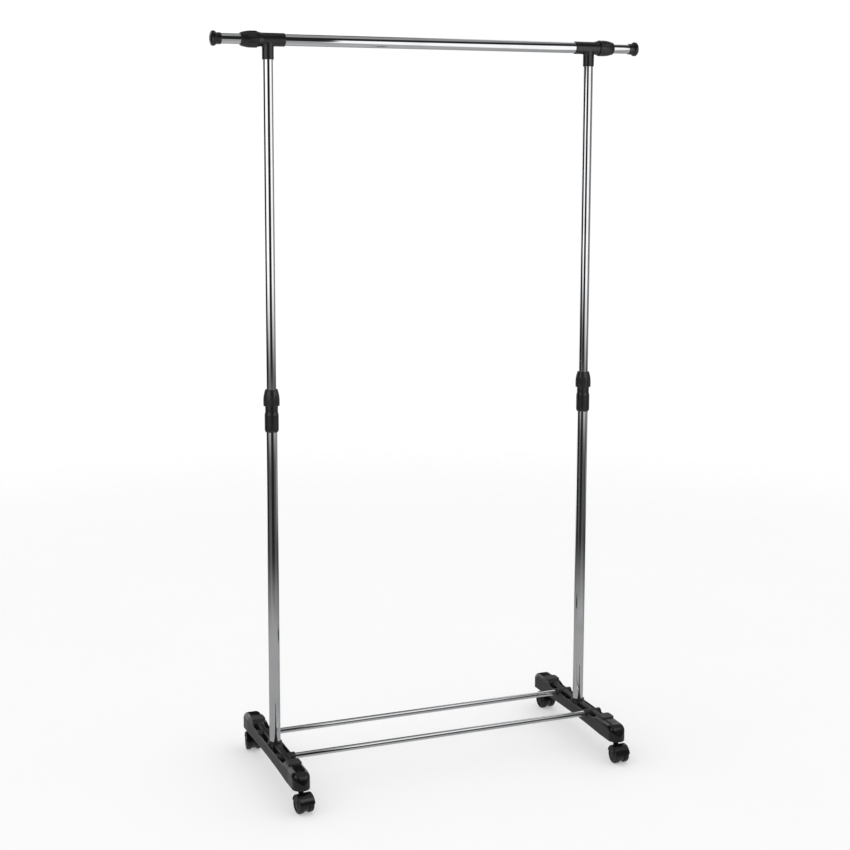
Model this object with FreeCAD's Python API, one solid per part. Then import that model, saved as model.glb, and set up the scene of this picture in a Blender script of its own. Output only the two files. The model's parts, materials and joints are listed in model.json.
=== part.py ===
import FreeCAD, Part
import math
import os
from FreeCAD import Placement, Rotation, Vector

# Rolling clothes rack with a telescopic frame, in millimetres.
# +X runs along the hanging bar, +Y to the rear and +Z up.
# The origin is on the floor, midway between the two posts.

# Overall sizes
post_spacing = 770.0
rail_height = 1650.0
lower_post_length = 782.0

# Tubes
outer_tube_d = 25.0
tube_wall = 0.8
slide_gap = 0.7
base_rod_d = 13.0
rod_pitch = 156.0
rod_above_foot = 26.0

# Clearances
push_fit = 0.1
guide_gap = 0.3
turn_gap = 0.3
running_fit = 0.1

# Feet
foot_length = 430.0
foot_width = 40.0
foot_wall = 3.0
beam_height = 28.0
pad_height = 42.0
nose_height = 38.0
nose_radius = 27.0
arch_rise = 4.0
arch_length = 300.0
pad_outer_setback = 57.0
pad_length = 29.0
pad_width = 31.0
pad_corner = 5.0
pad_ease = 1.6
ramp_length = 28.0
edge_ease = 2.4
nose_ease = 11.0
spine_width = 14.0
spine_height = 33.0
pocket_floor = 12.0
rib_thickness = 2.0
post_boss_wall = 3.0
post_boss_height = 36.0
post_seat = 13.0
post_seat_thickness = 3.0
rod_socket_wall = 2.8
rod_socket_lip = 2.5
rod_end_wall = 4.0

# Locking collars on the posts and at the ends of the hanging bar
sleeve_wall = 3.1
neck_wall = 1.65
sleeve_length = 41.0
neck_length = 17.0
tube_stop_depth = 12.0
spigot_wall = 2.2
spigot_length = 15.0
nut_wall = 4.2
nut_length = 37.0
nut_mouth_length = 12.0
flute_count = 10
flute_radius = 3.2
flute_depth = 1.3
collet_length = 14.0
collet_taper = 0.9
collet_slit = 2.5

# Tees
tee_inner_reach = 37.0
tee_outer_reach = 24.0
tee_socket_drop = 42.0
tee_post_stop = 18.0
shoulder_length = 11.0
shoulder_rise = 1.75

# Sliding tubes and their fittings
post_overlap = 70.0
extension_shown = 42.0
extension_tube_length = 370.0
bush_head = 6.0
bush_stem = 14.0
bush_wall = 2.0
cap_sleeve_wall = 1.25
cap_sleeve_length = 11.0
cap_flange_rise = 3.75
cap_flange_length = 8.0
cap_dome = 5.0

# Fasteners
bolt_d = 6.0
bolt_length = 24.0
bolt_head_d = 10.0
bolt_head_height = 4.0
washer_d = 16.0
washer_thickness = 1.2
insert_length = 22.0
screw_d = 3.5
screw_head_d = 7.0
screw_head_height = 2.2
screw_length = 12.0
screw_boss_wall = 2.8

# Casters
wheel_d = 40.0
wheel_width = 11.2
caster_core = 12.0
wheel_gap = 0.4
caster_trail = 15.0
axle_d = 4.0
hood_gap = 0.8
hood_wall = 1.6
stem_d = 8.0
stem_socket_depth = 33.0
stem_collar_d = 13.0
stem_collar_height = 1.8
stem_gap = 3.0
barrel_rise = 4.0
barrel_depth = 18.0
barrel_wall = 1.9
grip_ring_height = 4.0
grip_ring_wall = 1.0
grip_ring_drop = 5.0
grip_ring_play = 0.2
swivel_angles = {"front_left": 8.0, "front_right": 2.0, "rear_left": -8.0, "rear_right": 8.0}

# Worked out from the sizes above
inner_tube_d = outer_tube_d - 2 * tube_wall - 2 * slide_gap
outer_r = outer_tube_d / 2
inner_r = inner_tube_d / 2
half_spacing = post_spacing / 2
barrel_height = wheel_d + barrel_rise
stem_collar_z = barrel_height + turn_gap
foot_z = stem_collar_z + stem_collar_height + stem_gap
rod_z = foot_z + rod_above_foot
lower_post_z = foot_z + post_seat
lower_post_top = lower_post_z + lower_post_length
stem_inset = foot_width / 2
stem_y = foot_length / 2 - stem_inset
pad_outer_y = foot_length / 2 - pad_outer_setback
pad_inner_y = pad_outer_y - pad_length
guide_bore_r = inner_r + guide_gap
spigot_r = guide_bore_r + spigot_wall
nut_bore_r = spigot_r + turn_gap
nut_r = nut_bore_r + nut_wall
nut_mouth_r = inner_r + guide_gap + 0.05
neck_r = outer_r + push_fit + neck_wall
bar_end = half_spacing + tee_outer_reach - tube_stop_depth
nut_face = half_spacing + tee_outer_reach + turn_gap
nut_end = nut_face + nut_length
cap_face = nut_end + extension_shown + cap_sleeve_length
stem_r = stem_d / 2
axle_r = axle_d / 2
wheel_r = wheel_d / 2
wheel_inner_x = caster_core / 2 + wheel_gap
X, Y, Z = Vector(1, 0, 0), Vector(0, 1, 0), Vector(0, 0, 1)


def cylinder(radius, start, end):
    """A solid cylinder from one point to another."""
    span = Vector(*end) - Vector(*start)
    return Part.makeCylinder(radius, span.Length, Vector(*start), span)


def tube(outer_radius, inner_radius, start, end):
    """A straight tube between two points."""
    return cylinder(outer_radius, start, end).cut(cylinder(inner_radius, start, end))


def box(low, high):
    """A box from its lowest corner to its highest."""
    size = Vector(*high) - Vector(*low)
    return Part.makeBox(size.x, size.y, size.z, Vector(*low))


def outline(*steps):
    """A closed wire from (u, v) points; a pair of points in a list is the middle and end of an arc."""
    edges = []
    here = steps[0]
    for step in steps[1:] + (steps[0],):
        if isinstance(step, list):
            middle, end = step
            edges.append(Part.Arc(flat(here), flat(middle), flat(end)).toShape())
        else:
            end = step
            edges.append(Part.LineSegment(flat(here), flat(end)).toShape())
        here = end
    return Part.Wire(edges)


def flat(point):
    """A (u, v) point as a vector in the XZ plane."""
    return Vector(point[0], 0, point[1])


def turned(*steps):
    """A solid turned about Z from an outline of (radius, height) points."""
    return Part.Face(outline(*steps)).revolve(Vector(0, 0, 0), Z, 360)


def stood_at(shape, place, direction=Z):
    """A copy of a shape made along +Z, turned to a direction and moved to a place."""
    moved = shape.copy()
    moved.Placement = Placement(Vector(*place), Rotation(Z, direction)).multiply(moved.Placement)
    return moved


def placed(shape, placement):
    """A copy of a shape, carried by a placement."""
    moved = shape.copy()
    moved.Placement = placement.multiply(moved.Placement)
    return moved


def arc_middle(centre, radius, degrees):
    """A point on a circle, for the middle of an arc."""
    angle = math.radians(degrees)
    return (centre[0] + radius * math.cos(angle), centre[1] + radius * math.sin(angle))


def dome_middle(radius, low, high):
    """The middle of an arc from a rim up to the axis, square to the axis at its top."""
    rise = high - low
    ball = (radius * radius + rise * rise) / (2 * rise)
    half_angle = math.asin(radius / ball) / 2
    return (ball * math.sin(half_angle), high - ball * (1 - math.cos(half_angle)))


def facing(shape, side):
    """A right-hand piece as it is, or turned half round the Z axis for the left."""
    return placed(shape, Placement(Vector(0, 0, 0), Rotation(Z, 0 if side > 0 else 180)))


# Feet


def hump_prism(inset, bottom):
    """The raised end of the foot at +Y, from its ramp to its nose, before its plan is rounded."""
    end = foot_length / 2 - inset
    top = nose_height - inset
    radius = nose_radius - inset
    centre = (end - radius, top - radius)
    ramp_top = pad_inner_y
    ramp_foot = ramp_top - ramp_length
    wire = outline(
        (ramp_foot - 10, bottom),
        (end, bottom),
        (end, centre[1]),
        [arc_middle(centre, radius, 45), (centre[0], top)],
        (ramp_top, top),
        (ramp_foot, beam_height - inset),
        (ramp_foot - 10, beam_height - inset - 1),
    )
    wire.Placement = Placement(Vector(inset - foot_width / 2, 0, 0), Rotation(Z, 90))
    return Part.Face(wire).extrude(Vector(foot_width - 2 * inset, 0, 0))


def foot_plan(inset, bottom):
    """The foot's plan, a bar with round ends, as a block up to the nose's height."""
    radius = foot_width / 2 - inset
    top = nose_height - inset
    block = box((-radius, -stem_y, bottom), (radius, stem_y, top))
    for side in (-1, 1):
        block = block.fuse(cylinder(radius, (0, side * stem_y, bottom), (0, side * stem_y, top)))
    return block.removeSplitter()


def foot_block():
    """The foot's outer shape without its sockets, with its edges eased."""
    half_width = foot_width / 2
    beam = box((-half_width, -stem_y, 0), (half_width, stem_y, beam_height))
    beam = beam.makeFillet(edge_ease, [e for e in beam.Edges if runs_along_y(e) and e.CenterOfMass.z > 1])
    pad = box((-pad_width / 2, pad_inner_y, beam_height), (pad_width / 2, pad_outer_y, pad_height))
    pad = pad.makeFillet(pad_corner, [e for e in pad.Edges if runs_along_z(e)])
    pad = pad.makeFillet(pad_ease, [e for e in pad.Edges if e.CenterOfMass.z > pad_height - 0.1])
    made = beam
    for piece in (hump(0, 0), pad):
        made = made.fuse([piece, piece.mirror(Vector(0, 0, 0), Y)])
    return made.cut(foot_arch()).removeSplitter()


def foot_arch():
    """The shallow arch under the foot, as a block to cut away."""
    half = arch_length / 2
    wire = outline((-half, 0), [(0, arch_rise), (half, 0)], (half, -10), (-half, -10))
    wire.Placement = Placement(Vector(-foot_width, 0, 0), Rotation(Z, 90))
    return Part.Face(wire).extrude(Vector(2 * foot_width, 0, 0))


def foot_hollow():
    """The room inside the foot's walls, open below."""
    low = -1.0
    half_width = foot_width / 2 - foot_wall
    beam = box((-half_width, -stem_y, low), (half_width, stem_y, beam_height - foot_wall))
    raised = hump(foot_wall, low)
    return beam.common(foot_plan(foot_wall, low)).fuse([raised, raised.mirror(Vector(0, 0, 0), Y)])


def hump(inset, bottom):
    """The raised end of the foot at +Y with its round upper rim; an inset gives the hollow inside it."""
    made = hump_prism(inset, bottom).common(foot_plan(inset, bottom)).removeSplitter()
    return made.makeFillet(nose_ease - inset, [e for e in made.Edges if on_upper_rim(e, bottom)])


def on_upper_rim(edge, bottom):
    """Whether an edge of the hump runs along its top, rather than upright, across it or round its foot."""
    straight = isinstance(edge.Curve, Part.Line)
    aside = straight and (runs_along_x(edge) or runs_along_z(edge))
    return not aside and edge.CenterOfMass.z > bottom + 1


def foot_pocket(side, end, near, far, margin):
    """One recess in the top of the foot, beside the spine; the margin gives the wall round it."""
    inner = spine_width / 2 + 0.5 - margin
    outer = foot_width / 2 - foot_wall - 0.2 + margin
    low, high = sorted((end * (near - margin), end * (far + margin)))
    left, right = sorted((side * inner, side * outer))
    return box((left, low, pocket_floor - margin), (right, high, pad_height + 10))


def foot_pockets(margin=0.0):
    """All eight recesses: a long one and a short one at each side and each end."""
    socket_r = base_rod_d / 2 + push_fit + rod_socket_wall
    boss_r = outer_r + push_fit + post_boss_wall
    rod_y = rod_pitch / 2
    ramp_foot = pad_inner_y - ramp_length
    spans = [(boss_r + 2, rod_y - socket_r - 2), (rod_y + socket_r + 2, ramp_foot + ramp_length * 0.75)]
    return [
        foot_pocket(side, end, near, far, margin)
        for side in (-1, 1)
        for end in (-1, 1)
        for near, far in spans
    ]


def foot_inner_frame(socket_r, boss_r):
    """What stands inside the hollow foot: bosses, sockets and ribs."""
    kept = foot_pockets(margin=foot_wall - 0.5)
    kept.append(cylinder(boss_r, (0, 0, post_seat - post_seat_thickness), (0, 0, post_boss_height)))
    half_width, half_length = foot_width / 2, foot_length / 2
    for end in (-1, 1):
        rod_y = end * rod_pitch / 2
        kept.append(cylinder(socket_r, (-half_width, rod_y, rod_above_foot), (half_width, rod_y, rod_above_foot)))
        screw_boss_r = screw_d / 2 + screw_boss_wall
        kept.append(cylinder(screw_boss_r, (0, rod_y, screw_boss_low()), (0, rod_y, rod_above_foot)))
        stem_boss_r = stem_d / 2 + grip_ring_wall + foot_wall
        kept.append(cylinder(stem_boss_r, (0, end * stem_y, 0), (0, end * stem_y, nose_height)))
        for share in (0.2, 0.5, 0.7, 0.82):
            rib_y = end * half_length * share
            kept.append(box((-half_width, rib_y, arch_rise + 2), (half_width, rib_y + rib_thickness, pad_height)))
    kept.append(box((-rib_thickness / 2, -half_length, arch_rise + 4), (rib_thickness / 2, half_length, pad_height)))
    return kept


def screw_boss_low():
    """Height above the foot's bottom of the face that a rod screw's head seats on."""
    rod_low_inside = rod_above_foot - base_rod_d / 2 + tube_wall
    return rod_low_inside + 3.0 - screw_length


def foot():
    """The right foot, with its bottom at z = 0 and its post on the Z axis."""
    boss_r = outer_r + push_fit + post_boss_wall
    socket_r = base_rod_d / 2 + push_fit + rod_socket_wall
    half_width = foot_width / 2
    rod_y = rod_pitch / 2
    body = foot_block()
    spine_end = pad_inner_y + pad_length / 2
    spine = box((-spine_width / 2, -spine_end, arch_rise), (spine_width / 2, spine_end, spine_height))
    spine = spine.makeFillet(2.5, [e for e in spine.Edges if runs_along_y(e) and e.CenterOfMass.z > arch_rise + 1])
    boss = cylinder(boss_r, (0, 0, post_seat - post_seat_thickness), (0, 0, post_boss_height))
    boss = boss.makeFillet(1.2, [e for e in boss.Edges if e.CenterOfMass.z > post_boss_height - 0.1 and e.Closed])
    sockets = []
    for end in (-1, 1):
        socket = cylinder(
            socket_r,
            (-half_width - rod_socket_lip, end * rod_y, rod_above_foot),
            (half_width - 0.6, end * rod_y, rod_above_foot),
        )
        sockets.append(socket.makeFillet(1.0, [e for e in socket.Edges if is_circle(e)]))
    hollow = foot_hollow().cut(foot_inner_frame(socket_r, boss_r))
    made = body.cut(foot_pockets()).fuse([spine.common(foot_clear_of_boss(boss_r)), boss] + sockets)
    made = made.cut(hollow)
    bores = [
        cylinder(outer_r + push_fit, (0, 0, post_seat), (0, 0, post_boss_height + 1)),
        cylinder(bolt_d / 2 + push_fit, (0, 0, 0), (0, 0, post_seat + 1)),
        cylinder(washer_d / 2 + 1, (0, 0, -1), (0, 0, post_seat - post_seat_thickness)),
    ]
    for end in (-1, 1):
        bores.append(
            cylinder(
                base_rod_d / 2 + push_fit,
                (-half_width - rod_socket_lip - 1, end * rod_y, rod_above_foot),
                (half_width - rod_end_wall, end * rod_y, rod_above_foot),
            )
        )
        bores.append(cylinder(screw_d / 2 + push_fit, (0, end * rod_y, 0), (0, end * rod_y, rod_above_foot)))
        bores.append(cylinder(screw_head_d / 2 + 0.6, (0, end * rod_y, -1), (0, end * rod_y, screw_boss_low())))
        stem_bore_r = stem_r + grip_ring_wall / 2
        bores.append(cylinder(stem_bore_r, (0, end * stem_y, -1), (0, end * stem_y, stem_socket_depth)))
    return made.cut(bores).removeSplitter()


def foot_clear_of_boss(boss_r):
    """Everything of the foot's box outside the post boss, as a block with a hole."""
    block = box((-foot_width, -foot_length, -1), (foot_width, foot_length, pad_height + 1))
    return block.cut(cylinder(boss_r - 0.5, (0, 0, -2), (0, 0, pad_height + 2)))


def runs_along_y(edge):
    """Whether a straight edge is parallel to Y."""
    return abs(edge.tangentAt(edge.FirstParameter).y) > 0.999


def runs_along_x(edge):
    """Whether a straight edge is parallel to X."""
    return abs(edge.tangentAt(edge.FirstParameter).x) > 0.999


def runs_along_z(edge):
    """Whether a straight edge is parallel to Z."""
    return abs(edge.tangentAt(edge.FirstParameter).z) > 0.999


def is_circle(edge):
    """Whether an edge is a full circle."""
    return edge.Closed and isinstance(edge.Curve, Part.Circle)


# Base tubes and their fasteners


def base_rod():
    """One base rod, along X on the axis, with a screw hole up through its lower wall at each end."""
    half = half_spacing + foot_width / 2 - rod_end_wall
    rod = tube(base_rod_d / 2, base_rod_d / 2 - tube_wall, (-half, 0, 0), (half, 0, 0))
    holes = [
        cylinder(screw_d / 2 + push_fit, (side * half_spacing, 0, -base_rod_d), (side * half_spacing, 0, 0))
        for side in (-1, 1)
    ]
    return rod.cut(holes)


def lower_post():
    """One lower post, standing on the seat in its foot."""
    return tube(outer_r, outer_r - tube_wall, (0, 0, 0), (0, 0, lower_post_length))


def post_insert():
    """The threaded plug in the bottom of a lower post."""
    radius = outer_r - tube_wall - push_fit
    plug = cylinder(radius, (0, 0, 0), (0, 0, insert_length))
    plug = plug.makeChamfer(1.0, [e for e in plug.Edges if is_circle(e) and e.CenterOfMass.z > 1])
    return plug.cut(cylinder(bolt_d / 2 + push_fit, (0, 0, 0), (0, 0, insert_length)))


def post_bolt():
    """A socket-head bolt pointing up, with its washer's top face at z = 0."""
    head_top = -washer_thickness
    shank = cylinder(bolt_d / 2, (0, 0, head_top), (0, 0, head_top + bolt_length))
    head = cylinder(bolt_head_d / 2, (0, 0, head_top - bolt_head_height), (0, 0, head_top))
    key = hexagon_prism(5.0, head_top - bolt_head_height, head_top - bolt_head_height + 2.5)
    return shank.fuse(head).cut(key).removeSplitter()


def hexagon_prism(across_flats, low, high):
    """A hexagonal prism on the Z axis."""
    radius = across_flats / math.sqrt(3)
    corners = [arc_middle((0, 0), radius, 60 * n) for n in range(7)]
    wire = Part.makePolygon([Vector(x, y, low) for x, y in corners])
    return Part.Face(wire).extrude(Vector(0, 0, high - low))


def bolt_washer():
    """The washer under a post bolt's head, with its top face at z = 0."""
    return tube(washer_d / 2, bolt_d / 2 + push_fit, (0, 0, -washer_thickness), (0, 0, 0))


def rod_screw():
    """A pan-head screw pointing up, with the seat of its head at z = 0."""
    point_length = 3.0
    shank_top = screw_length - point_length
    head_r, shank_r = screw_head_d / 2, screw_d / 2
    body = turned(
        (0, -screw_head_height),
        (head_r - 1.2, -screw_head_height),
        [(head_r - 0.35, -screw_head_height * 0.68), (head_r, -0.4)],
        (head_r, 0),
        (shank_r, 0),
        (shank_r, shank_top),
        (0, screw_length),
    )
    slots = [
        box((-2.0, -0.4, -screw_head_height - 1), (2.0, 0.4, -screw_head_height + 1.1)),
        box((-0.4, -2.0, -screw_head_height - 1), (0.4, 2.0, -screw_head_height + 1.1)),
    ]
    return body.cut(slots)


# Locking collars


def spigot(length_to_face):
    """The threaded spigot that a nut turns on, from the neck's end, with its guide bore."""
    top = length_to_face + turn_gap + spigot_length
    return turned(
        (guide_bore_r, length_to_face),
        (spigot_r, length_to_face),
        (spigot_r, top - 0.8),
        (spigot_r - 0.8, top),
        (guide_bore_r, top),
    )


def collar_sleeve():
    """The collar fixed on a lower post's top end; z = 0 is the collar's lower edge."""
    tube_r = outer_r + push_fit
    sleeve_r = tube_r + sleeve_wall
    neck_top = sleeve_length + neck_length
    tube_top = neck_top - tube_stop_depth
    body = turned(
        (tube_r, 0),
        (tube_r + 0.9, 0),
        [(sleeve_r - 0.9, 2.2), (sleeve_r, 6.5)],
        (sleeve_r, sleeve_length - 2.5),
        [(sleeve_r - 0.3, sleeve_length - 0.9), (neck_r + 0.8, sleeve_length)],
        [(neck_r + 0.1, sleeve_length + 4), (neck_r, sleeve_length + 9)],
        (neck_r, neck_top),
        (guide_bore_r, neck_top),
        (guide_bore_r, tube_top),
        (tube_r, tube_top),
    )
    return body.fuse(spigot(neck_top)).removeSplitter()


def lock_nut():
    """A twist-lock nut; z = 0 is its wide face and its axis is Z."""
    cone_low = spigot_length + 1.0
    cone_high = spigot_length + collet_length + 1.0
    taper = collet_taper * (cone_high - cone_low) / collet_length
    body = turned(
        (nut_bore_r, 0),
        (nut_r - 1.6, 0),
        [(nut_r - 0.45, 0.6), (nut_r, 2.2)],
        (nut_r, nut_mouth_length),
        [(nut_r - 1.05, nut_length * 0.66), (spigot_r + 0.9, nut_length - 2.2)],
        [(spigot_r + 0.5, nut_length - 0.7), (spigot_r - 0.6, nut_length)],
        (nut_mouth_r, nut_length),
        (nut_mouth_r, cone_high),
        (nut_bore_r - taper, cone_high),
        (nut_bore_r, cone_low),
    )
    flutes = []
    for n in range(flute_count):
        x, y = arc_middle((0, 0), nut_r + flute_radius - flute_depth, 360.0 * n / flute_count)
        flute = cylinder(flute_radius, (x, y, 3.6), (x, y, nut_length))
        flutes.append(flute.makeFillet(1.6, [e for e in flute.Edges if is_circle(e) and e.CenterOfMass.z < 4]))
    return body.cut(flutes)


def collet():
    """The split taper ring that a nut squeezes on the inner tube; z = 0 is its seat."""
    ring = turned(
        (guide_bore_r, 0),
        (spigot_r, 0),
        (spigot_r, 1),
        (spigot_r - collet_taper, collet_length),
        (guide_bore_r, collet_length),
    )
    return ring.cut(box((0, -collet_slit / 2, -1), (2 * spigot_r, collet_slit / 2, collet_length + 1)))


def guide_bush():
    """The plug in the inner end of a sliding tube; z = 0 is the tube's end face."""
    head_r = outer_r - tube_wall - guide_gap
    stem_outer = inner_r - tube_wall - push_fit
    return turned(
        (stem_outer - bush_wall, -bush_head),
        (head_r - 1, -bush_head),
        (head_r, -bush_head + 1),
        (head_r, 0),
        (stem_outer, 0),
        (stem_outer, bush_stem - 1),
        (stem_outer - 0.6, bush_stem),
        (stem_outer - bush_wall, bush_stem),
    )


# Tees, hanging bar and extension bars


def tee():
    """The right tee, with the hanging bar along X and the post below; its axes cross at the origin."""
    socket_r = inner_r + push_fit + neck_wall
    bar_r = outer_r + push_fit
    shoulder_r = neck_r + shoulder_rise
    run = turned(
        (bar_r, -tee_inner_reach),
        (neck_r - 1.0, -tee_inner_reach),
        [(neck_r - 0.3, -tee_inner_reach + 0.3), (neck_r, -tee_inner_reach + 1.0)],
        (neck_r, tee_outer_reach - shoulder_length - 2),
        [
            (neck_r + shoulder_rise * 0.4, tee_outer_reach - shoulder_length * 0.62),
            (shoulder_r, tee_outer_reach - 2.5),
        ],
        [(shoulder_r - 0.3, tee_outer_reach - 0.6), (shoulder_r - 1.2, tee_outer_reach)],
        (bar_r, tee_outer_reach),
    )
    run = run.fuse(spigot(tee_outer_reach))
    run = run.fuse(turned_core(bar_r, tee_outer_reach - tube_stop_depth, tee_outer_reach))
    run = stood_at(run, (0, 0, 0), X)
    drop = cylinder(socket_r, (0, 0, -tee_socket_drop), (0, 0, 0))
    drop = drop.makeFillet(0.8, [e for e in drop.Edges if is_circle(e) and e.CenterOfMass.z < -1])
    bar_room = cylinder(bar_r, (-tee_inner_reach - 1, 0, 0), (tee_outer_reach - tube_stop_depth, 0, 0))
    drop = drop.cut(bar_room)
    drop = drop.cut(cylinder(guide_bore_r, (0, 0, 0), (2 * tee_outer_reach, 0, 0)))
    made = run.fuse(drop).removeSplitter()
    made = made.makeFillet(2.5, [e for e in made.Edges if joins_tee(e, socket_r)])
    return made.cut(cylinder(inner_r + push_fit, (0, 0, -tee_socket_drop - 1), (0, 0, -tee_post_stop)))


def turned_core(outer_radius, low, high):
    """The solid stretch round the guide bore, between the bar's end and the neck's end."""
    return tube(outer_radius, guide_bore_r, (0, 0, low), (0, 0, high))


def joins_tee(edge, socket_r):
    """Whether an edge is the outside corner between the tee's run and its drop."""
    on_run, on_drop = True, True
    for share in (0.1, 0.37, 0.62, 0.9):
        p = edge.valueAt(edge.FirstParameter + share * (edge.LastParameter - edge.FirstParameter))
        on_run = on_run and abs(math.hypot(p.y, p.z) - neck_r) < 0.6
        on_drop = on_drop and abs(math.hypot(p.x, p.y) - socket_r) < 0.02
    return on_run and on_drop


def end_cap():
    """The stop on an extension bar's end; z = 0 is the tube's end face."""
    bore_r = inner_r + push_fit
    sleeve_r = bore_r + cap_sleeve_wall
    flange_r = sleeve_r + cap_flange_rise
    cap_dome_top = cap_flange_length + cap_dome
    return turned(
        (0, 0),
        (bore_r, 0),
        (bore_r, -cap_sleeve_length),
        (sleeve_r - 0.5, -cap_sleeve_length),
        (sleeve_r, -cap_sleeve_length + 0.8),
        (sleeve_r, -1.5),
        [(sleeve_r + cap_flange_rise * 0.35, -0.2), (flange_r - 0.8, 2.4)],
        [(flange_r - 0.15, 3.3), (flange_r, 4.2)],
        (flange_r, cap_flange_length - 1.2),
        [(flange_r - 0.9, cap_flange_length + 1.0), (flange_r - 3.2, cap_flange_length + 2.4)],
        [dome_middle(flange_r - 3.2, cap_flange_length + 2.4, cap_dome_top), (0, cap_dome_top)],
    )


def main_bar():
    """The fixed middle of the hanging bar, seated in both tees."""
    return tube(outer_r, outer_r - tube_wall, (-bar_end, 0, rail_height), (bar_end, 0, rail_height))


def sliding_tube(length):
    """A plain inner tube from z = 0 up."""
    return tube(inner_r, inner_r - tube_wall, (0, 0, 0), (0, 0, length))


# Casters, built with the stem on the Z axis, the floor at z = 0 and the wheels trailing to -Y


def caster_body():
    """The hooded yoke between the two wheels, with the barrel that turns on the stem."""
    hub = Vector(0, -caster_trail, wheel_r)
    half_core = caster_core / 2
    half_hood = wheel_inner_x + wheel_width
    hood_in, hood_out = wheel_r + hood_gap, wheel_r + hood_gap + hood_wall
    core = cylinder(wheel_r - 2.5, (-half_core, hub.y, hub.z), (half_core, hub.y, hub.z))
    full = cylinder(hood_out, (-half_hood, hub.y, hub.z), (half_hood, hub.y, hub.z))
    full = full.makeFillet(1.4, [e for e in full.Edges if is_circle(e)])
    upper = box((-half_hood - 1, hub.y - 2 * wheel_r, hub.z + 4), (half_hood + 1, hub.y + 2 * wheel_r, 3 * wheel_r))
    shell = full.common(upper)
    wheel_rooms = [
        cylinder(hood_in, (side * half_core, hub.y, hub.z), (side * (half_hood + 2), hub.y, hub.z))
        for side in (-1, 1)
    ]
    barrel_r = stem_r + running_fit + barrel_wall
    barrel = cylinder(barrel_r, (0, 0, barrel_height - barrel_depth), (0, 0, barrel_height))
    bridge = box((-half_core, hub.y, barrel_height - barrel_depth), (half_core, 0, barrel_height - 4))
    made = shell.cut(wheel_rooms).fuse([core, barrel, bridge]).removeSplitter()
    stem_room = cylinder(stem_r + running_fit, (0, 0, barrel_height - barrel_depth + 2), (0, 0, barrel_height + 1))
    axle_room = cylinder(axle_r, (-half_core - 1, hub.y, hub.z), (half_core + 1, hub.y, hub.z))
    return made.cut([stem_room, axle_room])


def caster_wheel():
    """One wheel on the Z axis, with its open inner face at z = 0 and its domed face up."""
    rim = wheel_r - 3.2
    face = wheel_width
    return turned(
        (axle_r + running_fit, 0),
        (axle_r + running_fit + 2.4, 0),
        (axle_r + running_fit + 2.4, face - 4.2),
        (rim - 1, face - 4.2),
        (rim, 1),
        (wheel_r - 1.2, 0),
        [(wheel_r - 0.35, 0.35), (wheel_r, 1.2)],
        (wheel_r, face - 3.6),
        [(wheel_r - 0.75, face - 1.4), (wheel_r - 2.6, face - 0.6)],
        (wheel_r - 4.4, face - 0.3),
        [(wheel_r - 5.1, face - 1.2), (wheel_r - 6.2, face - 1.5)],
        (wheel_r - 10.5, face - 1.5),
        [(wheel_r - 11.4, face - 0.9), (wheel_r - 12.4, face - 0.2)],
        [dome_middle(wheel_r - 12.4, face - 0.2, face), (0, face)],
        (0, face - 1.8),
        (axle_r + running_fit, face - 1.8),
    )


def caster_axle():
    """The steel pin through the yoke, along X on the axis."""
    half = wheel_inner_x + wheel_width - 2.4
    pin = cylinder(axle_r - 0.02, (-half, 0, 0), (half, 0, 0))
    return pin.makeChamfer(0.4, [e for e in pin.Edges if is_circle(e)])


def caster_stem():
    """The stem on its own axis, at its height above the floor, grooved for the grip ring."""
    low = barrel_height - barrel_depth + 2.5
    top = foot_z + stem_socket_depth
    groove_high = top - grip_ring_drop + grip_ring_play
    groove_low = top - grip_ring_drop - grip_ring_height - grip_ring_play
    groove_r = stem_r - grip_ring_wall / 2 - 0.1
    collar_r = stem_collar_d / 2
    return turned(
        (0, low),
        (stem_r - 0.5, low),
        (stem_r, low + 0.5),
        (stem_r, stem_collar_z),
        (collar_r - 0.3, stem_collar_z),
        (collar_r, stem_collar_z + 0.3),
        (collar_r, stem_collar_z + stem_collar_height - 0.3),
        (collar_r - 0.3, stem_collar_z + stem_collar_height),
        (stem_r, stem_collar_z + stem_collar_height),
        (stem_r, groove_low),
        (groove_r, groove_low),
        (groove_r, groove_high),
        (stem_r, groove_high),
        (stem_r, top - 1.2),
        (stem_r - 1.2, top),
        (0, top),
    )


def grip_ring():
    """The split spring ring in a stem's groove, on the stem's own axis and height."""
    high = foot_z + stem_socket_depth - grip_ring_drop
    inner = stem_r - grip_ring_wall / 2
    ring = tube(inner + grip_ring_wall - push_fit, inner, (0, 0, high - grip_ring_height), (0, 0, high))
    return ring.cut(box((0, -0.8, high - grip_ring_height - 1), (2 * stem_r, 0.8, high + 1)))


def caster_placement(corner):
    """Where a caster's stem stands, and how far the caster is turned."""
    side = -1 if "left" in corner else 1
    end = -1 if "front" in corner else 1
    return Placement(Vector(side * half_spacing, end * stem_y, 0), Rotation(Z, swivel_angles[corner]))


def caster_pieces(corner):
    """The named pieces of one caster."""
    where = caster_placement(corner)
    hub = (0, -caster_trail, wheel_r)
    wheel = caster_wheel()
    pieces = {
        corner + "_caster_body": caster_body(),
        corner + "_caster_axle": stood_at(caster_axle(), hub),
        corner + "_caster_left_wheel": stood_at(wheel, (-wheel_inner_x, hub[1], hub[2]), -X),
        corner + "_caster_right_wheel": stood_at(wheel, (wheel_inner_x, hub[1], hub[2]), X),
        corner + "_caster_stem": caster_stem(),
    }
    return {name: placed(shape, where) for name, shape in pieces.items()}


# The whole rack


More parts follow.
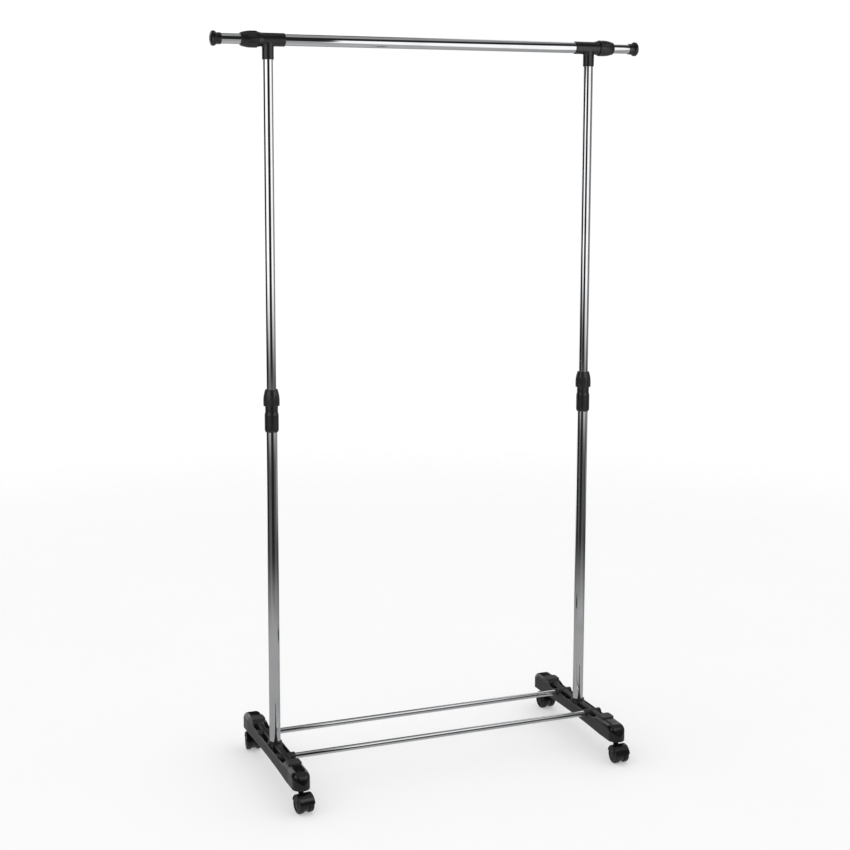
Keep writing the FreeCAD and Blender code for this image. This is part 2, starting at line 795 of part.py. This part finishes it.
def side_pieces(name, side):
    """The pieces of the left (-1) or right (+1) side, apart from the casters."""
    post = side * half_spacing
    outward = X * side
    collar_low = lower_post_top + tube_stop_depth - neck_length - sleeve_length
    collar_face = lower_post_top + tube_stop_depth
    upper_low = lower_post_top - post_overlap + bush_head
    upper_length = rail_height - tee_post_stop - upper_low
    collet_gap = turn_gap + spigot_length
    foot_right, tee_right = foot(), tee()
    tube_start = side * (cap_face - extension_tube_length)
    return {
        name + "_foot": stood_at(facing(foot_right, side), (post, 0, foot_z)),
        name + "_lower_post": stood_at(lower_post(), (post, 0, lower_post_z)),
        name + "_post_insert": stood_at(post_insert(), (post, 0, lower_post_z)),
        name + "_post_bolt": stood_at(post_bolt(), (post, 0, lower_post_z - post_seat_thickness)),
        name + "_collar_sleeve": stood_at(collar_sleeve(), (post, 0, collar_low)),
        name + "_collar_collet": stood_at(collet(), (post, 0, collar_face + collet_gap)),
        name + "_collar_nut": stood_at(lock_nut(), (post, 0, collar_face + turn_gap)),
        name + "_upper_post": stood_at(sliding_tube(upper_length), (post, 0, upper_low)),
        name + "_post_bush": stood_at(guide_bush(), (post, 0, upper_low)),
        name + "_tee": stood_at(facing(tee_right, side), (post, 0, rail_height)),
        name + "_bar_collet": stood_at(
            collet(), (side * (nut_face + spigot_length), 0, rail_height), outward
        ),
        name + "_bar_nut": stood_at(lock_nut(), (side * nut_face, 0, rail_height), outward),
        name + "_extension_bar": stood_at(
            sliding_tube(extension_tube_length), (tube_start, 0, rail_height), outward
        ),
        name + "_bar_bush": stood_at(guide_bush(), (tube_start, 0, rail_height), outward),
        name + "_end_cap": stood_at(end_cap(), (side * cap_face, 0, rail_height), outward),
    }


def shared_pieces():
    """The pieces that join both sides, and the small fasteners that share a node."""
    rod_y = rod_pitch / 2
    corners = [(sx * half_spacing, sy * rod_y) for sx in (-1, 1) for sy in (-1, 1)]
    screw_seat = foot_z + screw_boss_low()
    washer_z = lower_post_z - post_seat_thickness
    washers = [stood_at(bolt_washer(), (side * half_spacing, 0, washer_z)) for side in (-1, 1)]
    screws = [stood_at(rod_screw(), (x, y, screw_seat)) for x, y in corners]
    rings = [placed(grip_ring(), caster_placement(corner)) for corner in swivel_angles]
    return {
        "front_base_rod": stood_at(base_rod(), (0, -rod_y, rod_z)),
        "rear_base_rod": stood_at(base_rod(), (0, rod_y, rod_z)),
        "main_bar": main_bar(),
        "rod_screws": Part.makeCompound(screws),
        "bolt_washers": Part.makeCompound(washers),
        "stem_grip_rings": Part.makeCompound(rings),
    }


def build():
    """Every node of the rack, by name."""
    pieces = {}
    for name, side in (("left", -1), ("right", 1)):
        pieces.update(side_pieces(name, side))
    pieces.update(shared_pieces())
    for corner in swivel_angles:
        pieces.update(caster_pieces(corner))
    return pieces


os.makedirs("parts", exist_ok=True)
for node, shape in build().items():
    shape.exportStep("parts/" + node + ".step")
print("pieces written:", len(os.listdir("parts")))
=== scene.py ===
import json
import math
import bmesh
import bpy
from mathutils import Matrix, Vector

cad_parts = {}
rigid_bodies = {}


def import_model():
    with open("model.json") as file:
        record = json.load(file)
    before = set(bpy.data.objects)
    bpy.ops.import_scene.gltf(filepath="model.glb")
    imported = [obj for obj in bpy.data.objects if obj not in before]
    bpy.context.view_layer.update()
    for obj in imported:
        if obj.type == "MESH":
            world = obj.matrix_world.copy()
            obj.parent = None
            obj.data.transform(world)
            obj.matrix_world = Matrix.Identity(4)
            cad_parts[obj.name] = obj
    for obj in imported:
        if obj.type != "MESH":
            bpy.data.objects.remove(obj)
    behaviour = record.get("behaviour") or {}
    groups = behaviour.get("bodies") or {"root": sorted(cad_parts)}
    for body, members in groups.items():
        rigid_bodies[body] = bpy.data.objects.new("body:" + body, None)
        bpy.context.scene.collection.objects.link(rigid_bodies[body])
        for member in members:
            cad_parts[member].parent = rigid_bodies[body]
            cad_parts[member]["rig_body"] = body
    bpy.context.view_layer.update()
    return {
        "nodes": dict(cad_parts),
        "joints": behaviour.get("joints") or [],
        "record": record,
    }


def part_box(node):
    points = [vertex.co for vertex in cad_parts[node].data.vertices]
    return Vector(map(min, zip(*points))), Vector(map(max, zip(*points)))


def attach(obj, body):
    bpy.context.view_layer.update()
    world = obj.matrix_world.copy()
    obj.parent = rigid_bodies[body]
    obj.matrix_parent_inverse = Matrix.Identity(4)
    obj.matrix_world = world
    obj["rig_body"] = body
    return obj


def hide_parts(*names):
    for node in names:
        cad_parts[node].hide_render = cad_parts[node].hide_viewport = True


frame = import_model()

nodes = frame["nodes"]
slotOf = {part["node"]: part["material_slot"] for part in frame["record"]["subparts"]}
sides = ("left", "right")
corners = ("front_left", "front_right", "rear_left", "rear_right")
mm = 0.001
weldGap = 0.001 * mm
print("frame loaded:", len(nodes), "nodes")


class Wire:
    # one output of a shader node; sums and products of wires add Math nodes

    def __init__(self, tree, socket=None):
        self.tree = tree
        self.socket = socket

    def node(self, kind, settings, sockets, output=0):
        # any node: its settings first, then the values or links of its sockets
        made = self.tree.nodes.new("ShaderNode" + kind)
        for name, value in settings.items():
            setattr(made, name, value)
        for name, value in sockets.items():
            if isinstance(value, Wire):
                self.tree.links.new(value.socket, made.inputs[name])
            else:
                made.inputs[name].default_value = value
        return Wire(self.tree, made.outputs[output]) if made.outputs else None

    def maths(self, operation, first, second=0.0):
        return self.node("Math", {"operation": operation}, {0: first, 1: second})

    def __add__(self, other):
        return self.maths("ADD", self, other)

    def __radd__(self, other):
        return self.maths("ADD", other, self)

    def __sub__(self, other):
        return self.maths("SUBTRACT", self, other)

    def __rsub__(self, other):
        return self.maths("SUBTRACT", other, self)

    def __mul__(self, other):
        return self.maths("MULTIPLY", self, other)

    def __rmul__(self, other):
        return self.maths("MULTIPLY", other, self)

    def __abs__(self):
        return self.maths("ABSOLUTE", self)

    def step(self, low, high):
        # 0 below low, 1 above high, and a smooth rise between them
        ease = {"interpolation_type": "SMOOTHSTEP"}
        span = {"Value": self, "From Min": low, "From Max": high}
        return self.node("MapRange", ease, span, "Result")

    def band(self, low, high, soft):
        # 1 between low and high, falling to 0 over a soft edge
        return self.step(low - soft, low + soft) * (1 - self.step(high - soft, high + soft))

    def noise(self, scale, detail, stretch=(1, 1, 1)):
        # self is a place; stretch packs the pattern more closely along some axes
        place = self.node("Mapping", {}, {"Vector": self, "Scale": stretch}, "Vector")
        sockets = {"Vector": place, "Scale": scale, "Detail": detail, "Roughness": 0.55}
        return self.node("TexNoise", {}, sockets, "Fac")

    def blend(self, first, second):
        # self is the share of the second colour; either is a plain colour or a wire
        pair = [colour if isinstance(colour, Wire) else (*colour, 1) for colour in (first, second)]
        return self.node("Mix", {"data_type": "RGBA"}, {0: self, 6: pair[0], 7: pair[1]}, 2)

    def bump(self, strength, depth, height):
        return self.node("Bump", {}, {"Strength": strength, "Distance": depth, "Height": height})


def startMaterial(name):
    material = bpy.data.materials.new(name)
    material.use_nodes = True
    material.node_tree.nodes.clear()
    return material, Wire(material.node_tree)


def endMaterial(start, sockets):
    shader = start.node("BsdfPrincipled", {}, sockets, "BSDF")
    start.node("OutputMaterial", {}, {"Surface": shader})


chrome = {
    # the plating of the tubes
    "bright": (0.87, 0.88, 0.90),
    "dull": (0.74, 0.75, 0.77),
    "roughness": 0.035,
    "smudge": 0.05,          # roughness added where the plating is handled
    "lineRoughness": 0.03,
    "speckRoughness": 0.12,
    "lineScale": 18.0,       # scales of the patterns, per metre
    "smudgeScale": 14.0,
    "speckScale": 900.0,
    "smudgeRange": (0.45, 0.75),     # the noise values that make a smudge or a speck
    "speckRange": (0.70, 0.76),
    "packing": 160.0,        # how much closer the lines lie across the tube than along it
    "smudgeShade": 0.55,     # shares of the duller colour
    "speckShade": 0.45,
    "lineDepth": 0.004 * mm,
    "lineStrength": 0.35,
}


def chromeFinish(name, along):
    # plated tube: faint lines drawn along it, broad smudges and a few specks
    material, start = startMaterial(name)
    place = start.node("TexCoord", {}, {}, "Object")
    drawn = [1.0 if axis == along else chrome["packing"] for axis in "xyz"]
    lines = place.noise(chrome["lineScale"], 2.0, drawn)
    smudges = place.noise(chrome["smudgeScale"], 4.0).step(*chrome["smudgeRange"])
    specks = place.noise(chrome["speckScale"], 1.0).step(*chrome["speckRange"])
    share = smudges * chrome["smudgeShade"] + specks * chrome["speckShade"]
    colour = share.blend(chrome["bright"], chrome["dull"])
    roughness = chrome["roughness"] + smudges * chrome["smudge"]
    roughness = roughness + lines * chrome["lineRoughness"] + specks * chrome["speckRoughness"]
    bump = start.bump(chrome["lineStrength"], chrome["lineDepth"], lines)
    endMaterial(start, {"Base Color": colour, "Roughness": roughness, "Metallic": 1.0, "Normal": bump})
    return material


plastics = {
    # colour, lighter colour of its mottling, roughness and how far it varies, grain and its depth
    "fitting": {"dark": (0.006, 0.006, 0.0065), "light": (0.012, 0.012, 0.013), "roughness": 0.23,
                "spread": 0.10, "grain": 1500.0, "depth": 0.02 * mm},
    "nut": {"dark": (0.0065, 0.0065, 0.007), "light": (0.014, 0.014, 0.015), "roughness": 0.28,
            "spread": 0.10, "grain": 1100.0, "depth": 0.03 * mm},
    "cap": {"dark": (0.005, 0.005, 0.0055), "light": (0.010, 0.010, 0.011), "roughness": 0.20,
            "spread": 0.10, "grain": 1600.0, "depth": 0.015 * mm},
    "caster": {"dark": (0.003, 0.003, 0.0035), "light": (0.006, 0.006, 0.007), "roughness": 0.12,
               "spread": 0.08, "grain": 2200.0, "depth": 0.006 * mm},
    "insert": {"dark": (0.030, 0.030, 0.030), "light": (0.050, 0.050, 0.050), "roughness": 0.50,
               "spread": 0.08, "grain": 900.0, "depth": 0.03 * mm},
    "nylon": {"dark": (0.60, 0.58, 0.52), "light": (0.74, 0.73, 0.68), "roughness": 0.38,
              "spread": 0.08, "grain": 1200.0, "depth": 0.02 * mm},
}
moulding = {
    # what every moulded finish has in common
    "mottlingScale": 45.0,
    "mottlingRange": (0.35, 0.70),
    "mottlingShare": 0.7,
    "flowScale": 8.0,        # long soft clouds from the flow of the plastic
    "flowStretch": (1, 1, 3),
    "flowShare": 0.3,
    "grainRoughness": 0.05,
    "grainStrength": 0.6,
    "shine": 0.7,            # specular level of every moulding but the wheels
}


def plasticParts(place, look):
    # share of the lighter colour, roughness and grain, which every moulded finish starts from
    mottling = place.noise(moulding["mottlingScale"], 5.0)
    flow = place.noise(moulding["flowScale"], 3.0, moulding["flowStretch"])
    grain = place.noise(look["grain"], 2.0)
    share = mottling.step(*moulding["mottlingRange"]) * moulding["mottlingShare"]
    roughness = look["roughness"] + mottling * look["spread"] + grain * moulding["grainRoughness"]
    return share + flow * moulding["flowShare"], roughness, grain


def plasticFinish(name, look):
    material, start = startMaterial(name)
    place = start.node("TexCoord", {}, {}, "Object")
    share, roughness, grain = plasticParts(place, look)
    bump = start.bump(moulding["grainStrength"], look["depth"], grain)
    colour = share.blend(look["dark"], look["light"])
    endMaterial(start, {"Base Color": colour, "Roughness": roughness, "Normal": bump,
                        "Specular IOR Level": moulding["shine"]})
    return material


foot = {
    "look": {"dark": (0.008, 0.008, 0.0085), "light": (0.017, 0.017, 0.018), "roughness": 0.30,
             "spread": 0.12, "grain": 1300.0, "depth": 0.03 * mm},
    "pad": (0.024, 0.024, 0.025),      # the raised pads are stippled, and their colour is paler as painted light on their upward faces
    "padDepth": 2.5 * mm,
    "padEdge": 0.5 * mm,
    "padDulling": 0.12,
    "stipple": 700.0,
    "stippleDepth": 2.5,               # against a grain of 1
    "nose": (0.004, 0.004, 0.0045),    # the noses are polished, and their colour is darker as painted shade
    "noseGloss": 0.17,
    "noseLength": 52 * mm,
    "noseEdge": 1 * mm,
}


def footFinish(name):
    # satin moulding, with glossier noses darkened by painted shade, and stippled pads on top paled by
    # painted light
    material, start = startMaterial(name)
    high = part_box("left_foot")[1]
    place = start.node("TexCoord", {}, {}, "Object")
    parts = {axis: start.node("SeparateXYZ", {}, {"Vector": place}, axis) for axis in "YZ"}
    share, roughness, grain = plasticParts(place, foot["look"])
    noseStart = high.y - foot["noseLength"]
    # the glossier noses, whose colour is darkened as painted shade
    nose = abs(parts["Y"]).step(noseStart - foot["noseEdge"], noseStart + foot["noseEdge"])
    padStart = high.z - foot["padDepth"]
    # the pads on top: stippled and dulled, with their colour paled as painted light
    pad = parts["Z"].step(padStart, padStart + foot["padEdge"])
    stipple = {"Vector": place, "Scale": foot["stipple"]}
    dots = start.node("TexVoronoi", {"feature": "F1"}, stipple, "Distance")
    base = share.blend(foot["look"]["dark"], foot["look"]["light"])
    # the nose colour is painted shade and the pad colour is painted light
    colour = pad.blend(nose.blend(base, foot["nose"]), foot["pad"])
    roughness = roughness - nose * foot["noseGloss"] + pad * foot["padDulling"]
    height = grain + pad * dots * foot["stippleDepth"]
    bump = start.bump(moulding["grainStrength"], foot["look"]["depth"], height)
    endMaterial(start, {"Base Color": colour, "Roughness": roughness, "Normal": bump,
                        "Specular IOR Level": moulding["shine"]})
    return material


wheel = {
    "look": {"dark": (0.004, 0.004, 0.0045), "light": (0.008, 0.008, 0.009), "roughness": 0.20,
             "spread": 0.10, "grain": 1800.0, "depth": 0.01 * mm},
    "tread": (0.020, 0.0195, 0.019),
    "treadRoughness": 0.30,
    "scuffScale": 420.0,
    "scuffRange": (0.40, 0.70),
    "leastWorn": 0.45,       # share of the tread's colour where it isn't scuffed
    "sideEdge": 0.90,        # shares of the wheel's radius where the side ends and the tread begins
    "treadEdge": 0.97,
}


def wheelFinish(name):
    # glossy sides, and a tread dulled by rolling
    material, start = startMaterial(name)
    place = start.node("TexCoord", {}, {}, "Object")
    share, roughness, grain = plasticParts(place, wheel["look"])
    tread = start.node("Attribute", {"attribute_name": "tread"}, {}, "Fac")
    scuffs = place.noise(wheel["scuffScale"], 4.0).step(*wheel["scuffRange"])
    worn = tread * (wheel["leastWorn"] + scuffs * (1 - wheel["leastWorn"]))
    base = share.blend(wheel["look"]["dark"], wheel["look"]["light"])
    colour = worn.blend(base, wheel["tread"])
    roughness = roughness + worn * wheel["treadRoughness"]
    bump = start.bump(moulding["grainStrength"], wheel["look"]["depth"], grain + scuffs * tread)
    endMaterial(start, {"Base Color": colour, "Roughness": roughness, "Normal": bump})
    return material


steels = {
    "zinc": {"bright": (0.66, 0.67, 0.70), "dull": (0.48, 0.49, 0.50), "roughness": 0.24,
             "pitScale": 1800.0},
    "spring": {"bright": (0.34, 0.33, 0.31), "dull": (0.20, 0.19, 0.18), "roughness": 0.34,
               "pitScale": 2700.0},
}
steelGrain = {
    # what both steels have in common
    "cloudScale": 180.0,
    "cloudRange": (0.35, 0.70),
    "cloudRoughness": 0.14,
    "pitRoughness": 0.05,
    "pitDepth": 0.01 * mm,
    "pitStrength": 0.4,
}


def steelFinish(name, look):
    # plated or blued steel: cloudy patches and fine pitting
    material, start = startMaterial(name)
    place = start.node("TexCoord", {}, {}, "Object")
    clouds = place.noise(steelGrain["cloudScale"], 4.0).step(*steelGrain["cloudRange"])
    pits = place.noise(look["pitScale"], 2.0)
    colour = clouds.blend(look["bright"], look["dull"])
    roughness = look["roughness"] + clouds * steelGrain["cloudRoughness"]
    roughness = roughness + pits * steelGrain["pitRoughness"]
    bump = start.bump(steelGrain["pitStrength"], steelGrain["pitDepth"], pits)
    endMaterial(start, {"Base Color": colour, "Roughness": roughness, "Metallic": 1.0, "Normal": bump})
    return material


finishes = {
    "chromeUpright": chromeFinish("chromeUpright", "z"),
    "chromeLevel": chromeFinish("chromeLevel", "x"),
    "foot": footFinish("footPlastic"),
    "wheel": wheelFinish("wheelPlastic"),
    "zinc": steelFinish("zincSteel", steels["zinc"]),
    "spring": steelFinish("springSteel", steels["spring"]),
}
for plastic, settings in plastics.items():
    finishes[plastic] = plasticFinish(plastic + "Plastic", settings)
print("finishes made:", len(finishes))

sharpAngle = 32              # degrees from which an edge stays sharp


def camel(node):
    words = node.split("_")
    return words[0] + "".join(word.capitalize() for word in words[1:])


def finishPiece(bm, node, ending, finish):
    # turns a bmesh into the piece that stands for a CAD node
    mesh = bpy.data.meshes.new(camel(node) + ending)
    bm.to_mesh(mesh)
    bm.free()
    mesh.materials.append(finishes[finish])
    mesh.shade_smooth()
    mesh.set_sharp_from_angle(angle=math.radians(sharpAngle))
    piece = bpy.data.objects.new(mesh.name, mesh)
    bpy.context.scene.collection.objects.link(piece)
    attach(piece, nodes[node]["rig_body"])
    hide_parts(node)
    return piece


def eased(outline, steps):
    # outline is (radius, along, easing) for each corner; each corner becomes an arc of that easing
    points = []
    for index, (radius, along, easing) in enumerate(outline):
        here = Vector((radius, along))
        before = (Vector(outline[index - 1][:2]) - here).normalized()
        after = (Vector(outline[(index + 1) % len(outline)][:2]) - here).normalized()
        halfTurn = before.angle(after) / 2
        reach = easing / math.tan(halfTurn)
        middle = here + (before + after).normalized() * easing / math.sin(halfTurn)
        start = (here + before * reach - middle).normalized()
        end = (here + after * reach - middle).normalized()
        for step in range(steps + 1):
            points.append(middle + start.slerp(end, step / steps) * easing)
    return points


def spun(points, steps):
    # turns a closed outline of (radius, along) points right round the Z axis
    bm = bmesh.new()
    verts = [bm.verts.new((point.x, 0, point.y)) for point in points]
    edges = [bm.edges.new(pair) for pair in zip(verts, verts[1:] + verts[:1])]
    bmesh.ops.spin(bm, geom=verts + edges, cent=(0, 0, 0), axis=(0, 0, 1), angle=math.tau,
                   steps=steps, use_merge=True)
    bmesh.ops.remove_doubles(bm, verts=bm.verts, dist=weldGap)
    bmesh.ops.recalc_face_normals(bm, faces=bm.faces)
    bm.verts.index_update()
    for parts in (bm.edges, bm.faces):
        # spin leaves these in a chance order; this one is the same at every run
        ordered = sorted(parts, key=lambda part: sorted(vert.index for vert in part.verts))
        for place, part in enumerate(ordered):
            part.index = place
        parts.sort()
    return bm


def stand(bm, end, direction):
    # moves what was made up the Z axis to start at its end point and run in a direction
    turn = Vector((0, 0, 1)).rotation_difference(direction).to_matrix().to_4x4()
    bmesh.ops.transform(bm, matrix=Matrix.Translation(end) @ turn, verts=bm.verts)


tubes = {
    "wall": 0.8 * mm,
    "easing": 0.25 * mm,     # radius of the edges at the ends
    "easingSteps": 5,
    "steps": 144,            # round the tube
}
directions = {"x": Vector((1, 0, 0)), "z": Vector((0, 0, 1))}


def makeTube(node, along):
    low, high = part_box(node)
    axis = directions[along]
    length = (high - low).dot(axis)
    radius = (high.y - low.y) / 2
    inner = radius - tubes["wall"]
    ease = tubes["easing"]
    outline = [(radius, 0, ease), (radius, length, ease), (inner, length, ease), (inner, 0, ease)]
    bm = spun(eased(outline, tubes["easingSteps"]), tubes["steps"])
    stand(bm, (low + high) / 2 - axis * length / 2, axis)
    finishPiece(bm, node, "Tube", "chromeUpright" if along == "z" else "chromeLevel")


for side in sides:
    makeTube(side + "_lower_post", "z")
    makeTube(side + "_upper_post", "z")
    makeTube(side + "_extension_bar", "x")
for node in ("front_base_rod", "rear_base_rod", "main_bar"):
    makeTube(node, "x")
print("tubes made")


def takeOver(node, ending, finish, worked=None):
    # a welded copy of a CAD node, with its rounded faces shaded smoothly
    bm = bmesh.new()
    bm.from_mesh(nodes[node].data)
    bmesh.ops.remove_doubles(bm, verts=bm.verts, dist=weldGap)
    if worked:
        worked(bm)
    weighted = finishPiece(bm, node, ending, finish).modifiers.new("faceWeights", "WEIGHTED_NORMAL")
    weighted.keep_sharp = True


def markTread(corner, side):
    # gives the wheel's rim a tread value of 1, and its sides 0
    axle = next(Vector(joint["axis"]) for joint in frame["joints"]
                if joint["name"] == corner + "_" + side + "_wheel_spin")
    low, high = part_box(corner + "_caster_" + side + "_wheel")
    middle = (low + high) / 2
    radius = (high.z - low.z) / 2

    def mark(bm):
        layer = bm.verts.layers.float.new("tread")
        for vert in bm.verts:
            out = vert.co - middle
            reach = (out - axle * out.dot(axle)).length / radius
            share = (reach - wheel["sideEdge"]) / (wheel["treadEdge"] - wheel["sideEdge"])
            vert[layer] = min(1, max(0, share))
    return mark


for side in sides:
    takeOver(side + "_foot", "Moulding", "foot")
    takeOver(side + "_tee", "Moulding", "fitting")
    takeOver(side + "_collar_sleeve", "Moulding", "fitting")
    takeOver(side + "_collar_nut", "Moulding", "nut")
    takeOver(side + "_bar_nut", "Moulding", "nut")
    takeOver(side + "_end_cap", "Moulding", "cap")
for corner in corners:
    takeOver(corner + "_caster_body", "Hood", "caster")
    for side in sides:
        takeOver(corner + "_caster_" + side + "_wheel", "Disc", "wheel", markTread(corner, side))
print("mouldings made")


keptFinishes = {
    # material slots of the nodes that keep their own shape
    "insert_plastic": "insert",
    "natural_nylon": "nylon",
    "zinc_steel": "zinc",
    "spring_steel": "spring",
}
for node, thing in nodes.items():
    if thing.hide_render:
        continue
    for slot in thing.material_slots:
        slot.material = finishes[keptFinishes[slotOf[node]]]
print("kept nodes finished")


stageSet = {
    # the floor and the daylight on it
    "floorRadius": 9.0,
    "daylight": 1.02,
    "fadeStart": 2.2,        # the floor thins out to nothing between these distances
    "fadeEnd": 4.5,
    "floorColour": (0.66, 0.66, 0.66),
    "floorMottling": (0.64, 0.64, 0.64),
    "floorRoughness": 0.8,
    "cloudScale": 2.0,
    "floorLift": 0.31,       # light of its own, so that shadows stay pale
}
cameraSet = {
    # metres, degrees and millimetres of lens
    "target": (-0.0208, 0.0, 0.9445),
    "azimuth": -21.78,
    "elevation": 7.898,
    "distance": 3.6163,
    "roll": 0.17,
    "lens": 67.09,
    "rise": -0.0785,         # the lens shift that keeps the posts upright in the frame
}
cards = {
    # white light cards in front of the rack, from one end to the other in plan, in metres
    "left": {"ends": ((-0.945, -0.904), (-2.50, 0.10)), "glow": 1.15},
    "right": {"ends": ((0.067, -1.376), (0.92, -0.50)), "glow": 1.10},
}
cardShape = {
    "low": (0.55, 1.05),     # the light rises from faint to full between these heights
    "faint": 0.07,
    "high": (1.90, 2.00),
    "soft": 0.05,            # the share of a card's width over which its ends fade
}
softboxes = [
    # far lights: azimuths from the camera's side and elevations, in degrees, and brightness
    {"across": (86, 128), "up": (-12, 50), "soft": 3.0, "glow": 0.25},
    {"across": (146, 172), "up": (-14, 48), "soft": 3.0, "glow": 1.1},
    {"across": (-164, -128), "up": (-14, 48), "soft": 3.0, "glow": 1.1},
]
glossyWorld = {
    # brightnesses, and the elevations in degrees over which they come in
    "gap": 0.018,            # between the lights
    "ceiling": 0.30,
    "ceilingEdge": (50, 62),
    "ground": 0.34,
    "groundEdge": (-21, -13),
    "groundBelow": 0.12,     # added straight below
    "belowEdge": (-75, -55),
}
white = (1, 1, 1, 1)


def makeFloor():
    # a pale disc that fades into the white around it and isn't seen in the chrome
    bm = bmesh.new()
    bmesh.ops.create_circle(bm, cap_ends=True, segments=128, radius=stageSet["floorRadius"])
    mesh = bpy.data.meshes.new("floor")
    bm.to_mesh(mesh)
    bm.free()
    material, start = startMaterial("paleFloor")
    place = start.node("TexCoord", {}, {}, "Object")
    away = start.node("VectorMath", {"operation": "LENGTH"}, {0: place}, "Value")
    cloud = place.noise(stageSet["cloudScale"], 4.0)
    colour = cloud.blend(stageSet["floorColour"], stageSet["floorMottling"])
    surface = {"Base Color": colour, "Roughness": stageSet["floorRoughness"],
               "Emission Color": white, "Emission Strength": stageSet["floorLift"]}
    solid = start.node("BsdfPrincipled", {}, surface, "BSDF")
    clear = start.node("BsdfTransparent", {}, {}, "BSDF")
    fade = away.step(stageSet["fadeStart"], stageSet["fadeEnd"])
    mixed = start.node("MixShader", {}, {0: fade, 1: solid, 2: clear}, "Shader")
    start.node("OutputMaterial", {}, {"Surface": mixed})
    mesh.materials.append(material)
    floor = bpy.data.objects.new("floor", mesh)
    bpy.context.scene.collection.objects.link(floor)
    floor.visible_glossy = False


def makeCard(side):
    # a card that only polished pieces see, brightest above its soft lower edge
    near, far = (Vector(end) for end in cards[side]["ends"])
    span = (far - near).length
    bm = bmesh.new()
    height = cardShape["high"][1]
    rim = ((0, 0, 0), (span, 0, 0), (span, 0, height), (0, 0, height))
    bm.faces.new([bm.verts.new(place) for place in rim])
    mesh = bpy.data.meshes.new(side + "Card")
    bm.to_mesh(mesh)
    bm.free()
    material, start = startMaterial(side + "CardLight")
    place = start.node("TexCoord", {}, {}, "Object")
    along = start.node("SeparateXYZ", {}, {"Vector": place}, "X") * (1 / span)
    up = start.node("SeparateXYZ", {}, {"Vector": place}, "Z")
    soft = cardShape["soft"]
    lit = up.step(*cardShape["low"]) * (1 - cardShape["faint"]) + cardShape["faint"]
    glow = lit * (1 - up.step(*cardShape["high"]))
    share = glow * along.step(0, soft) * (1 - along.step(1 - soft, 1))
    light = start.node("Emission", {}, {"Color": white, "Strength": cards[side]["glow"]}, "Emission")
    clear = start.node("BsdfTransparent", {}, {}, "BSDF")
    mixed = start.node("MixShader", {}, {0: share, 1: clear, 2: light}, "Shader")
    start.node("OutputMaterial", {}, {"Surface": mixed})
    mesh.materials.append(material)
    card = bpy.data.objects.new(mesh.name, mesh)
    card.location = (*near, 0)
    card.rotation_euler = (0, 0, math.atan2(far.y - near.y, far.x - near.x))
    bpy.context.scene.collection.objects.link(card)
    card.visible_camera = False
    card.visible_diffuse = False
    card.visible_shadow = False
    card.visible_transmission = False


def makeWorld():
    # white all round, with softboxes and dark gaps only in what polished pieces reflect
    world = bpy.data.worlds.new("studio")
    bpy.context.scene.world = world
    world.use_nodes = True
    world.node_tree.nodes.clear()
    world.cycles.sampling_method = "NONE"      # an even sky needs no map of where its light is
    start = Wire(world.node_tree)
    way = start.node("TexCoord", {}, {}, "Generated")
    angle = math.radians(cameraSet["azimuth"])
    front = (math.sin(angle), -math.cos(angle), 0)
    right = (math.cos(angle), math.sin(angle), 0)
    ahead = start.node("VectorMath", {"operation": "DOT_PRODUCT"}, {0: way, 1: front}, "Value")
    aside = start.node("VectorMath", {"operation": "DOT_PRODUCT"}, {0: way, 1: right}, "Value")
    height = start.node("SeparateXYZ", {}, {"Vector": way}, "Z")
    across = start.maths("ARCTAN2", aside, ahead) * math.degrees(1)
    up = start.maths("ARCSINE", height) * math.degrees(1)
    glow = glossyWorld["gap"] + up.step(*glossyWorld["ceilingEdge"]) * glossyWorld["ceiling"]
    glow = glow + (1 - up.step(*glossyWorld["groundEdge"])) * glossyWorld["ground"]
    glow = glow + (1 - up.step(*glossyWorld["belowEdge"])) * glossyWorld["groundBelow"]
    for box in softboxes:
        spread = across.band(*box["across"], box["soft"])
        glow = glow + spread * up.band(*box["up"], box["soft"]) * box["glow"]
    glossy = start.node("LightPath", {}, {}, "Is Glossy Ray")
    strength = glossy * glow + (1 - glossy) * stageSet["daylight"]
    sky = start.node("Background", {}, {"Color": white, "Strength": strength})
    start.node("OutputWorld", {}, {"Surface": sky})


def makeCamera():
    camera = bpy.data.objects.new("camera", bpy.data.cameras.new("camera"))
    bpy.context.scene.collection.objects.link(camera)
    azimuth, elevation = math.radians(cameraSet["azimuth"]), math.radians(cameraSet["elevation"])
    level = math.cos(elevation)
    back = Vector((math.sin(azimuth) * level, -math.cos(azimuth) * level, math.sin(elevation)))
    camera.location = Vector(cameraSet["target"]) + back * cameraSet["distance"]
    turn = back.to_track_quat("Z", "Y").to_matrix()
    roll = Matrix.Rotation(math.radians(cameraSet["roll"]), 3, "Z")
    camera.rotation_euler = (turn @ roll).to_euler()
    camera.data.lens = cameraSet["lens"]
    camera.data.shift_y = cameraSet["rise"]
    bpy.context.scene.camera = camera


makeFloor()
for side in sides:
    makeCard(side)
makeWorld()
makeCamera()
bpy.context.scene.view_settings.view_transform = "Standard"
print("stage set")
